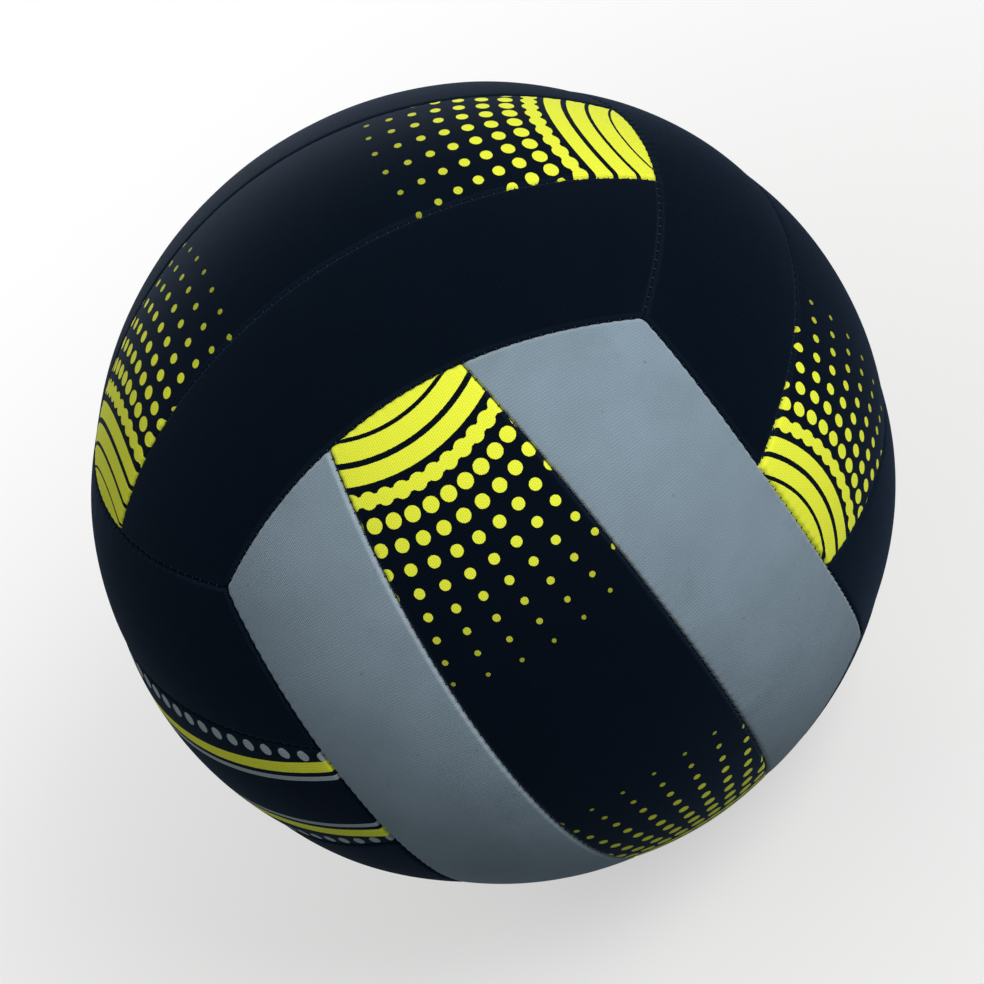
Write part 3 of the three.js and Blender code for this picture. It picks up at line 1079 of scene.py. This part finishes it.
@dataclass
class CoverPanel:
    """One sewn panel: foam rubber with jersey on both sides, folded edges and a hem inside.

    Attributes:
        name: The name of the solid that it stands for.
        face: The face that it belongs to.
        cut: The cutting that it is made from.
        turned: Whether it is the outer strip away from normal x run.
        seed: What makes this panel's unevenness its own.
        thickness: Thickness of the foam rubber with its jersey.
        hem: Width of the edge turned under.
        skive: Width of the slope at the free edge of the hem.
        pinch: How deep the thread pulls the fold at a stitch.
        pinch_reach: How fast that fades away from the seam.
        notch: How far the thread draws the fold back from the seam at a stitch.
        drag: Depth of the shallow ripples that run from the seam into the panel.
        drag_reach: How fast they fade.
        drag_waves: Lengths of the ripples.
        swell: Height of the panel's broad unevenness over the bladder.
        swell_waves: Lengths of that unevenness.
        lip: Rounding of the valve's hole.
    """

    name: str
    face: Face
    cut: StripCut
    turned: bool
    seed: int
    thickness: float = 2.5 * MM
    hem: float = 5 * MM
    skive: float = 1.2 * MM
    pinch: float = 0.2 * MM
    pinch_reach: float = 1.2 * MM
    notch: float = 0.12 * MM
    drag: float = 0.05 * MM
    drag_reach: float = 7 * MM
    drag_waves: tuple[float, ...] = (9 * MM, 13 * MM, 21 * MM)
    swell: float = 0.12 * MM
    swell_waves: tuple[float, ...] = (34 * MM, 47 * MM, 61 * MM)
    lip: float = 0.5 * MM

    def folded(self, pulls: Arrays) -> Array:
        """Finds the depth of the outside in the fold, where the thread notches it.

        Args:
            pulls: The thread's pull at the long side and at the end.

        Returns:
            The depth of each point below the crown.
        """
        cut, edge = self.cut, self.cut.edge_round
        left = np.ones_like(cut.side)
        for distance, pull in zip((cut.side, cut.end), pulls):
            into = 1 - (distance - cut.plan.gap / 2 - self.notch * pull) / edge
            left = left * np.sqrt(1 - np.clip(into, 0, 1) ** 2)
        depth = edge * (1 - left)
        if cut.hole:
            from_hole = np.hypot(cut.along, cut.across) * BALL_RADIUS - cut.hole
            depth += self.lip * (1 - np.sqrt(1 - np.clip(1 - from_hole / self.lip, 0, 1) ** 2))
        return depth

    def hemmed(self) -> Array:
        """Finds the depth of the inside: the hem lies flat at the edges and slopes up to the bare panel.

        Returns:
            The depth of each point below the crown.
        """
        left = np.ones_like(self.cut.side)
        for distance in (self.cut.side, self.cut.end):
            left = left * np.clip((distance - self.hem) / self.skive, 0, 1)
        return self.thickness * (2 - left)

    def uneven(self, pulls: Arrays) -> Array:
        """Finds the depth of stitch pinches, ripples from the seams and broad unevenness.

        Args:
            pulls: The thread's pull at the long side and at the end.

        Returns:
            The depth of each point.
        """
        draw = np.random.default_rng(self.seed)
        cut = self.cut
        along, across = cut.along * BALL_RADIUS, cut.across * BALL_RADIUS
        depth = np.zeros_like(along)
        for distance, pull, run in ((cut.side, pulls[0], along), (cut.end, pulls[1], across)):
            depth += self.pinch * pull * np.exp(-distance / self.pinch_reach)
            ripple = np.zeros_like(run)
            for wave in self.drag_waves:
                ripple += np.sin(math.tau * (run / wave + draw.random())) / len(self.drag_waves)
            depth += self.drag * ripple * np.exp(-distance / self.drag_reach)
        for wave in self.swell_waves:
            heading, phase = math.tau * draw.random(), math.tau * draw.random()
            run = along * math.cos(heading) + across * math.sin(heading)
            height = self.swell / len(self.swell_waves)
            depth += height * (1 + np.sin(math.tau * run / wave + phase)) / 2
        return depth

    def wrap(self) -> Array:
        """Lays the cut sheet on the ball.

        Returns:
            The place of each point, in the part's frame.
        """
        cut, plan = self.cut, self.cut.plan
        aim = plan.direction(cut.along, cut.across)
        pulls = (plan.pull(aim[:, 0]), plan.pull(aim[:, 1]))
        outer = self.folded(pulls) + self.uneven(pulls)
        depth = cut.crown() + np.where(cut.outside, outer, self.hemmed())
        if self.turned:
            aim = aim * np.array([-1, -1, 1])
        return (aim * (BALL_RADIUS - depth)[:, None]) @ self.face.axes()

    def map_cloth(self, mesh: bpy.types.Mesh, name: str, place: Array) -> None:
        """Adds a UV map that holds a pair of numbers for each point.

        Args:
            mesh: The panel's mesh.
            name: The map's name.
            place: One row of two numbers for each point.
        """
        corner = np.empty(len(mesh.loops), np.int32)
        mesh.loops.foreach_get("vertex_index", corner)
        layer = mesh.uv_layers.new(name=name)
        layer.uv.foreach_set("vector", place[corner].astype(np.float32).ravel())

    def build(self, material: bpy.types.Material, slot: str, design: EndPrint | SidePrint | None) -> None:
        """Makes the panel, dresses it and puts it in the place of its solid.

        Args:
            material: Its finish.
            slot: The record's slot for that finish. It is not used.
            design: What is printed on it, or None.
        """
        mesh = self.cut.sheet.copy()
        mesh.vertices.foreach_set("co", self.wrap().astype(np.float32).ravel())
        along, across = self.cut.laid_flat()
        self.map_cloth(mesh, "cloth", np.column_stack([along, across]) / MM)
        if design:
            self.map_cloth(mesh, "print", design.place(along, across, self.face.registers))
        # The distance to the nearest seam places the painted highlight along the folds.
        seam = mesh.attributes.new("seam_distance", "FLOAT", "POINT")
        nearest = np.minimum(self.cut.side, self.cut.end) / MM
        seam.data.foreach_set("value", nearest.astype(np.float32))
        piece = new_piece(f"sewn_{self.name}", mesh, material)
        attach(piece, BODY)
        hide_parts(self.name)
        report_piece(piece)


@dataclass
class SeamThread:
    """The thread that draws the panels together: a short rung across the seam at each stitch.

    Attributes:
        plan: Where the seams run.
        faces: The cover's faces.
        radius: Radius of the thread.
        depth: Depth of the rungs' centres below the folds.
        reach: Radius of a rung's bend over the seam.
        bend: Angle of a rung's bend, with both its ends inside the cloth.
        corner: Length without stitches where three seams meet.
        sides: Sides of the thread.
        steps: Steps along a rung's bend.
    """

    plan: SeamPlan
    faces: tuple[Face, ...]
    radius: float = 0.15 * MM
    depth: float = 1.3 * MM
    reach: float = 0.5 * MM
    bend: float = math.radians(140)
    corner: float = 2.0 * MM
    sides: int = 8
    steps: int = 6

    def strip_stitches(self) -> Arrays:
        """Finds the stitches between the middle strip and an outer one.

        Returns:
            Their angles along the strips and across them.
        """
        plan = self.plan
        count = int(BALL_RADIUS / plan.stitch)
        cosine = np.sin(np.arange(-count, count + 1) * plan.stitch / BALL_RADIUS)
        along = np.arcsin(cosine)
        for _ in range(ROUNDS):
            along = np.arcsin(np.clip(cosine / np.cos(plan.strip_seam(along)), -1, 1))
        across = plan.strip_seam(along)
        kept = np.abs(along) < plan.strip_end(across) - self.corner / BALL_RADIUS
        return along[kept], across[kept]

    def end_stitches(self) -> Arrays:
        """Finds the stitches where a face's strips end.

        Returns:
            Their angles along the strips and across them.
        """
        plan = self.plan
        half_edge = math.asin(1 / math.sqrt(3)) - self.corner / BALL_RADIUS
        count = int(half_edge * BALL_RADIUS / plan.stitch)
        across = np.arange(-count, count + 1) * plan.stitch / BALL_RADIUS
        return plan.strip_end(across), across

    def rung(self) -> bpy.types.Mesh:
        """Makes one rung that bends in the plane of X and Z about the origin.

        Returns:
            The rung's mesh.
        """
        bend = bmesh.new()
        across = Matrix.Translation((0, 0, self.reach)) @ Matrix.Rotation(math.pi / 2, 4, "Y")
        start = Matrix.Rotation(-self.bend / 2, 4, "Y") @ across
        bmesh.ops.create_circle(bend, cap_ends=True, segments=self.sides, radius=self.radius, matrix=start)
        around = bend.verts[:] + bend.edges[:] + bend.faces[:]
        bmesh.ops.spin(bend, geom=around, axis=(0, 1, 0), angle=self.bend, steps=self.steps)
        bmesh.ops.recalc_face_normals(bend, faces=bend.faces[:])
        return closed_mesh(bend, "rung")

    def places(self) -> Arrays:
        """Finds every rung's place on the ball.

        Returns:
            The origin of each rung, and its own axes as rows: over the seam, along it and outwards.
        """
        origins, frames = [], []
        signs = ((1, 1), (1, -1)), ((1, 1), (-1, 1))
        for (along, across), sides in zip((self.strip_stitches(), self.end_stitches()), signs):
            for lengthwise, sideways in sides:
                outward = self.plan.direction(along * lengthwise, across * sideways)
                step = np.gradient(outward, axis=0)
                run = step - outward * np.sum(step * outward, axis=1)[:, None]
                run /= np.linalg.norm(run, axis=1)[:, None]
                origins.append(outward * (BALL_RADIUS - self.plan.sink - self.depth))
                frames.append(np.stack([np.cross(run, outward), run, outward], axis=1))
        origin, axes = np.concatenate(origins), np.concatenate(frames)
        turns = [face.axes() for face in self.faces]
        origins, frames = [origin @ turn for turn in turns], [axes @ turn for turn in turns]
        return np.concatenate(origins), np.concatenate(frames)

    def build(self, material: bpy.types.Material) -> None:
        """Makes all rungs as one piece.

        Args:
            material: The thread's finish.
        """
        origin, axes = self.places()
        rung = self.rung()
        corners = np.array([vertex.co for vertex in rung.vertices])
        rungs = bmesh.new()
        for _ in origin:
            rungs.from_mesh(rung)
        mesh = closed_mesh(rungs, "seam_thread")
        bpy.data.meshes.remove(rung)
        place = corners[None] @ axes + origin[:, None]
        mesh.vertices.foreach_set("co", place.astype(np.float32).ravel())
        piece = new_piece("seam_thread", mesh, material)
        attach(piece, BODY)
        report_piece(piece)


def turned_piece(
    name: str,
    profile: list[Span],
    material: bpy.types.Material,
    steps: int = 64,
    edge: float = 0.0,
) -> bpy.types.Object:
    """Makes a solid of revolution about the valve's axis.

    Args:
        name: The object's name.
        profile: Radius and height along +Y of each corner, in order. It is closed from the last to
            the first, except where the first lies on the axis.
        material: Its finish.
        steps: Steps round the axis.
        edge: Radius to which sharp edges are rounded, or 0.

    Returns:
        The object.
    """
    solid = bmesh.new()
    corners = [solid.verts.new((radius, height, 0)) for radius, height in profile]
    on_axis = profile[0][0] == 0
    ends = zip(corners, corners[1:] + ([] if on_axis else corners[:1]))
    sides = [solid.edges.new(pair) for pair in ends]
    geom = corners + sides
    bmesh.ops.spin(solid, geom=geom, axis=(0, 1, 0), angle=math.tau, steps=steps, use_merge=True)
    bmesh.ops.remove_doubles(solid, verts=solid.verts[:], dist=0.001 * MM)
    bmesh.ops.recalc_face_normals(solid, faces=solid.faces[:])
    if edge:
        sharp = [side for side in solid.edges if side.calc_face_angle(0) > math.radians(30)]
        round_off = {"affect": "EDGES", "segments": 3, "profile": 0.5, "material": -1}
        bmesh.ops.bevel(solid, geom=sharp, offset=edge, clamp_overlap=True, **round_off)
    return new_piece(name, closed_mesh(solid, name), material)


def arc(radius: float, start: float, end: float, steps: int) -> list[Span]:
    """Points of an arc about the ball's centre, as distance from the valve's axis and height.

    Args:
        radius: Radius of the arc.
        start: Angle from the valve's axis at which it starts.
        end: Angle at which it ends.
        steps: Steps along it.

    Returns:
        Both ends and the points between them.
    """
    angles = np.linspace(start, end, steps + 1)
    return [(float(radius * math.sin(angle)), float(radius * math.cos(angle))) for angle in angles]


@dataclass
class Inside:
    """What lies below the cover: the bladder, its valve, and the cloth that backs the valve's hole.

    Attributes:
        face: Height of the valve's face along +Y.
        bladder_radius: Outside radius of the bladder.
        wall: Its wall.
        boss: Radius of the boss in the cover's hole, of its tube and of its flange.
        flange: Thickness of the flange at the tube, and at its rim.
        fillet: Slope between the boss and its flange.
        tube_end: Height of the tube's open end.
        seat: Depth of the counterbore for the plug's head, and clearance round the plug.
        shank: Radius of the plug's shank, of its head and of its bead.
        bead: Height of the bead's middle and half its length.
        plug_end: Height of the plug's end.
        needle: Radius of the needle's channel, of its funnel, the funnel's depth and the channel's
            length.
        patch: Inside and outside radius of the patch, its thickness, and its depth below the cover.
        crown: Fall of the cover over half a strip, and that half.
        edge: Radius of the rubber's rounded edges.
    """

    face: float = 104 * MM
    bladder_radius: float = 98.595 * MM
    wall: float = 1 * MM
    boss: tuple[float, float, float] = (4.8 * MM, 5 * MM, 16 * MM)
    flange: Span = (1.3 * MM, 0.6 * MM)
    fillet: float = 1 * MM
    tube_end: float = 82.6 * MM
    seat: Span = (1.5 * MM, 0.3 * MM)
    shank: tuple[float, float, float] = (2.6 * MM, 3.5 * MM, 3.4 * MM)
    bead: Span = (95 * MM, 1.2 * MM)
    plug_end: float = 79.6 * MM
    needle: tuple[float, float, float, float] = (0.8 * MM, 1.7 * MM, 1.2 * MM, 19.4 * MM)
    patch: tuple[float, float, float, float] = (6.1 * MM, 19.8 * MM, 0.8 * MM, 0.3 * MM)
    crown: Span = (0.8 * MM, 27.5 * MM)
    edge: float = 0.15 * MM

    def show(self, piece: bpy.types.Object, node: str) -> None:
        """Puts a piece in the place of its solid.

        Args:
            piece: The piece.
            node: The solid's node.
        """
        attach(piece, BODY)
        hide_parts(node)
        report_piece(piece)

    def build_bladder(self, finish: RubberFinish) -> None:
        """Makes the bladder: a thin shell with the valve's mouth.

        Args:
            finish: The bladder's rubber.
        """
        mouth = (self.boss[1] + self.seat[1]) / self.bladder_radius
        inner = self.bladder_radius - self.wall
        outside = arc(self.bladder_radius, math.pi, mouth, 48)
        inside = arc(inner, mouth, math.pi, 48)
        outside[0], inside[-1] = (0.0, -self.bladder_radius), (0.0, -inner)
        bladder = turned_piece("dipped_bladder", outside + inside, finish.build(), steps=96)
        self.show(bladder, "bladder")

    def build_boss(self, rubber: bpy.types.Material) -> None:
        """Makes the boss: a tube with a collar in the cover's hole and a flange on the bladder.

        Args:
            rubber: The valve's rubber.
        """
        top, tube, rim = self.boss
        seat, gap = self.seat
        shank, head, bead = (radius + gap for radius in self.shank)
        middle, half = self.bead
        base = self.bladder_radius + gap
        rim_angle = rim / base
        upper = arc(base + self.flange[0], (top + self.fillet) / base, rim_angle * 0.8, 6)
        lower = arc(base, rim_angle, tube / base, 8)
        profile = [
            (shank, self.tube_end),
            (shank, middle - half - gap),
            (bead, middle),
            (shank, middle + half + gap),
            (shank, self.face - seat),
            (head, self.face - seat),
            (head, self.face),
            (top, self.face),
            (top, upper[0][1] + self.fillet),
            *upper,
            (rim, lower[0][1] + self.flange[1]),
            *lower,
            (tube, self.tube_end),
        ]
        boss = turned_piece("moulded_boss", profile, rubber, edge=self.edge)
        self.show(boss, "valve_boss")

    def build_plug(self, rubber: bpy.types.Material) -> None:
        """Makes the plug: a shank with a bead that holds it, a head, and the needle's channel.

        Args:
            rubber: The valve's rubber.
        """
        shank, head, bead = self.shank
        middle, half = self.bead
        needle, funnel, funnel_depth, channel = self.needle
        under_head = self.face - self.seat[0] + self.seat[1]
        profile = [
            (0, self.plug_end),
            (shank / 2, self.plug_end),
            (shank, self.plug_end + shank / 2),
            (shank, middle - half),
            (bead, middle),
            (shank, middle + half),
            (shank, under_head),
            (head, under_head),
            (head, self.face),
            (funnel, self.face),
            (needle, self.face - funnel_depth),
            (needle, self.face - channel),
            (0, self.face - channel),
        ]
        plug = turned_piece("moulded_plug", profile, rubber, edge=self.edge)
        self.show(plug, "valve_plug")

    def build_patch(self, finish: WovenFinish, cover: float) -> None:
        """Makes the patch, which follows the inside of the cover.

        Args:
            finish: The patch's cloth.
            cover: Radius of the inside of the cover.
        """
        inner, outer, thickness, depth = self.patch
        fall, half = self.crown
        distances = np.linspace(inner, outer, 12)
        tops = [cover - depth - fall * (distance / half) ** 2 for distance in distances]
        above = [(d, math.sqrt(top**2 - d**2)) for d, top in zip(distances, tops)]
        below = [(d, math.sqrt((top - thickness) ** 2 - d**2)) for d, top in zip(distances, tops)]
        patch = turned_piece("woven_patch", above + below[::-1], finish.build())
        self.show(patch, "valve_patch")

    def build(self) -> None:
        """Makes all four."""
        rubber = RubberFinish("valve_rubber", "232326", 0.55).build()
        self.build_bladder(RubberFinish("bladder_rubber", "1A1A1C", 0.5))
        self.build_boss(rubber)
        self.build_plug(rubber)
        self.build_patch(WovenFinish("patch_cloth", "BFBAAD"), BALL_RADIUS - CoverPanel.thickness)


@dataclass
class Cover:
    """The eighteen panels and the thread that joins them.

    Attributes:
        plan: Where the seams run.
        valve_hole: Radius of the hole for the valve.
        valve_face: The face whose middle strip has that hole.
        grey_faces: The faces whose outer strips are grey.
        side_printed: The face whose middle strip has the side print.
        black: The black jersey.
        grey: The grey jersey.
        yellow: The ink of both prints.
        pale: The side print's second ink.
        faces: The six faces.
    """

    plan: SeamPlan = SeamPlan()
    valve_hole: float = 5.1 * MM
    valve_face: str = "back"
    grey_faces: tuple[str, ...] = ("front", "back")
    side_printed: str = "left"

    # Each jersey's third colour is the painted highlight along its folds.
    # The black's shade sets stronger painted shade between loops and painted highlight on them.
    black: KnitFinish = KnitFinish(
        "black_jersey", "060E19", "0E1926", "040507", 0.09, "6F93BD", gloss=0.02, shade=(0.55, 1.4)
    )
    grey: KnitFinish = KnitFinish("grey_jersey", "8698A5", "9BABB6", "4E5A62", 0.10, "C9D3DB")
    yellow: InkFinish = InkFinish("F4FB46", "D6DF38")
    pale: InkFinish = InkFinish("A9B8BC", "7C8A90")

    faces: tuple[Face, ...] = (
        Face(
            "front",
            (0, -1, 0),
            (0, 0, 1),
            ("left", "right"),
            (Register(0.6 * MM, 1.6 * MM, 0.027), Register(0.9 * MM, 1.3 * MM, 0.029, 1.018, 0.991)),
        ),
        Face(
            "back",
            (0, 1, 0),
            (0, 0, 1),
            ("right", "left"),
            (Register(-1.2 * MM, -1.1 * MM, -0.012, 0.99, 0.98), Register(-2.5 * MM, 0.8 * MM, 0.02)),
        ),
        Face(
            "top",
            (0, 0, 1),
            (1, 0, 0),
            ("back", "front"),
            (
                Register(-8.2 * MM, -4.8 * MM, 0.045, 0.979, 1.011),
                Register(-8.4 * MM, 2.2 * MM, 0.1, 0.981, 1.114),
            ),
            arcs=8,
        ),
        Face(
            "bottom",
            (0, 0, -1),
            (1, 0, 0),
            ("front", "back"),
            (
                Register(-6.0 * MM, 2.4 * MM, 0.012, 0.97, 0.99),
                Register(-8.4 * MM, -1.5 * MM, -0.018, 0.96, 1.02),
            ),
            arcs=8,
        ),
        Face(
            "right",
            (1, 0, 0),
            (0, 1, 0),
            ("upper", "lower"),
            (
                Register(-2.0 * MM, -0.3 * MM, 0.036, 0.925, 0.972),
                Register(-4.4 * MM, 1.2 * MM, 0.01, 0.93, 0.96),
            ),
            arcs=8,
        ),
        Face("left", (-1, 0, 0), (0, 1, 0), ("lower", "upper"), (Register(), Register())),
    )

    def build(self) -> None:
        """Makes all panels."""
        plan = self.plan
        half_strip = plan.end_width / 2 / BALL_RADIUS
        reach = BALL_RADIUS * float(plan.strip_end(half_strip))
        ends = {face.arcs: EndPrint(self.yellow, last_arc=face.arcs) for face in self.faces}
        end_printed = {
            arcs: printed_cloth(f"jersey_printed_with_{arcs}_arcs", self.black, design)
            for arcs, design in ends.items()
        }
        strip = plan.middle_width / 2, plan.end_width / 2, reach
        sides = SidePrint(self.yellow, self.pale, strip)
        side_printed = printed_cloth("side_printed_jersey", self.black, sides)
        black, grey = self.black.plain(), self.grey.plain()
        middle, outer = StripCut(plan, Strip.MIDDLE), StripCut(plan, Strip.OUTER)
        pierced = StripCut(plan, Strip.MIDDLE, hole=self.valve_hole)
        for number, face in enumerate(self.faces):
            cut = pierced if face.name == self.valve_face else middle
            if face.name == self.side_printed:
                design, finish = sides, side_printed
            else:
                design, finish = ends[face.arcs], end_printed[face.arcs]
            panel = CoverPanel(f"{face.name}_middle_panel", face, cut, False, 3 * number)
            panel.build(finish, "printed_knit", design)
            cloth, slot = (grey, "grey_knit") if face.name in self.grey_faces else (black, "black_knit")
            for turn, side in enumerate(face.outer):
                seed = 3 * number + turn + 1
                panel = CoverPanel(f"{face.name}_{side}_panel", face, outer, turn == 1, seed)
                panel.build(cloth, slot, None)
        for cut in (middle, outer, pierced):
            bpy.data.meshes.remove(cut.sheet)
        SeamThread(plan, self.faces).build(ThreadFinish("nylon_thread", "2A2E33").build())


@dataclass(frozen=True)
class Lamp:
    """A square soft lamp that faces the ball.

    Attributes:
        name: The lamp's name.
        toward: Direction of the lamp from the ball, as parts of the camera's right, up and back.
        level: How bright it lights a white surface that faces it, where 1 is white.
        size: Side of the lamp.
        distance: Distance from the ball's centre.
    """

    name: str
    toward: tuple[float, float, float]
    level: float
    size: float
    distance: float = 1.4


@dataclass
class Studio:
    """Camera at the photograph's angle, pale floor and soft light.

    Attributes:
        up: Direction in the part's frame that is up in the photograph.
        back: Direction from the ball to the camera.
        distance: Distance of the camera from the ball's centre, in ball radii.
        ball_pixels: The ball's radius in the photograph, in its own pixels.
        centre_pixel: The ball's centre in the photograph.
        frame_pixels: Side of the photograph.
        floor_size: Side of the floor.
        floor_fade: Distances between which the floor fades into the white room.
        floor_lift: How much the floor is lifted towards white beside the ball.
        floor_colour: The floor's colour where it is seen, as sRGB hex.
        floor_bounce: Its colour for the light that it throws on the ball, as sRGB hex.
        room_light: How bright the room lights what is in it, where 1 is white.
        lamps: The lamps.
    """

    up: tuple[float, float, float] = (0.5408, 0.5319, 0.6516)
    back: tuple[float, float, float] = (0.0969, -0.8089, 0.5799)
    distance: float = 9.0
    ball_pixels: float = 403.0
    centre_pixel: Span = (493.0, 483.5)
    frame_pixels: float = 984.0
    floor_size: float = 6.0
    floor_fade: Span = (0.12, 0.5)
    floor_lift: float = 0.55
    floor_colour: str = "E6E6E4"
    floor_bounce: str = "565E63"
    room_light: float = 0.28
    lamps: tuple[Lamp, ...] = (
        Lamp("key_lamp", (0.33, 0.45, 0.83), 0.84, 0.8),
        Lamp("fill_lamp", (-0.9, 0.2, 0.6), 0.05, 1.0),
        Lamp("back_lamp", (-0.35, 0.6, -0.72), 0.42, 0.5),
    )

    def view_axes(self) -> Matrix:
        """Finds the camera's right, up and back.

        Returns:
            They are the columns of this rotation.
        """
        back = Vector(self.back).normalized()
        right = Vector(self.up).cross(back).normalized()
        return Matrix((right, back.cross(right), back)).transposed()

    def place_camera(self) -> None:
        """Makes the camera."""
        focal_pixels = self.ball_pixels * math.sqrt(self.distance**2 - 1)
        lens = bpy.data.cameras.new("camera")
        lens.lens = lens.sensor_width * focal_pixels / self.frame_pixels
        lens.shift_x = (self.frame_pixels / 2 - self.centre_pixel[0]) / self.frame_pixels
        lens.shift_y = (self.centre_pixel[1] - self.frame_pixels / 2) / self.frame_pixels
        camera = bpy.data.objects.new("camera", lens)
        axes = self.view_axes()
        camera.matrix_world = Matrix.Translation(axes.col[2] * self.distance * BALL_RADIUS) @ axes.to_4x4()
        bpy.context.scene.collection.objects.link(camera)
        bpy.context.scene.camera = camera

    def hang_lamp(self, lamp: Lamp) -> None:
        """Makes one lamp, facing the ball.

        Args:
            lamp: Where it is and how bright.
        """
        toward = (self.view_axes() @ Vector(lamp.toward)).normalized()
        light = bpy.data.lights.new(lamp.name, "AREA")
        light.shape = "SQUARE"
        light.size = lamp.size
        light.energy = lamp.level * (math.pi * lamp.distance) ** 2
        holder = bpy.data.objects.new(lamp.name, light)
        holder.location = toward * lamp.distance
        holder.rotation_euler = toward.to_track_quat("Z", "Y").to_euler()
        bpy.context.scene.collection.objects.link(holder)

    def seen_directly(self, tree: Tree) -> Node:
        """Adds what tells the camera's, a mirror's and glass's view from lighting.

        Args:
            tree: The node tree to add to.

        Returns:
            A node that gives 1 there, and 0 for light on its way to other surfaces.
        """
        path = add_node(tree, "ShaderNodeLightPath")
        seen = path.outputs["Is Camera Ray"]
        for ray in ("Is Glossy Ray", "Is Transmission Ray"):
            seen = calc(tree, "MAXIMUM", seen, path.outputs[ray])
        return seen

    def light_room(self) -> None:
        """Sets the world: even light on the ball, and a white room where it is seen."""
        world = bpy.data.worlds.new("studio_room")
        world.use_nodes = True
        tree = world.node_tree
        tree.nodes.clear()
        strength = blend(tree, self.seen_directly(tree), self.room_light, 1.0, "FLOAT")
        room = add_node(tree, "ShaderNodeBackground", {"Color": linear("FFFFFF"), "Strength": strength})
        add_node(tree, "ShaderNodeOutputWorld", {"Surface": room})
        bpy.context.scene.world = world

    def lay_floor(self) -> None:
        """Makes the pale floor under the ball, which fades into the white room away from it."""
        plane = bmesh.new()
        bmesh.ops.create_grid(plane, x_segments=1, y_segments=1, size=self.floor_size / 2)
        bmesh.ops.translate(plane, verts=plane.verts[:], vec=(0, 0, -BALL_RADIUS))
        mesh = closed_mesh(plane, "floor")
        material, tree = new_material("pale_floor")
        seen = self.seen_directly(tree)
        paper_colour = blend(tree, seen, linear(self.floor_bounce), linear(self.floor_colour))
        matte = add_node(tree, "ShaderNodeBsdfDiffuse", {"Color": paper_colour})
        glow = add_node(tree, "ShaderNodeEmission", {"Color": linear("FFFFFF")})
        spot = object_place(tree)
        away = add_node(tree, "ShaderNodeVectorMath", {0: spot}, operation="LENGTH")
        fade = remap(tree, away.outputs["Value"], self.floor_fade, (self.floor_lift, 1.0), smooth=True)
        lift = calc(tree, "MULTIPLY", seen, fade)
        paper = add_node(tree, "ShaderNodeMixShader", {0: lift, 1: matte, 2: glow})
        add_node(tree, "ShaderNodeOutputMaterial", {"Surface": paper})
        new_piece("floor", mesh, material)

    def build(self) -> None:
        """Makes the camera, the lamps, the room and the floor."""
        self.place_camera()
        for lamp in self.lamps:
            self.hang_lamp(lamp)
        self.light_room()
        self.lay_floor()
        bpy.context.scene.view_settings.view_transform = "Standard"


def main() -> None:
    """Builds the studio and the ball, and reports each piece."""
    logging.basicConfig(level=logging.INFO, format="%(name)s: %(message)s")
    LOG.info("ball radius %.2f mm", BALL_RADIUS / MM)
    Studio().build()
    Cover().build()
    Inside().build()


if __name__ == "__main__":
    main()
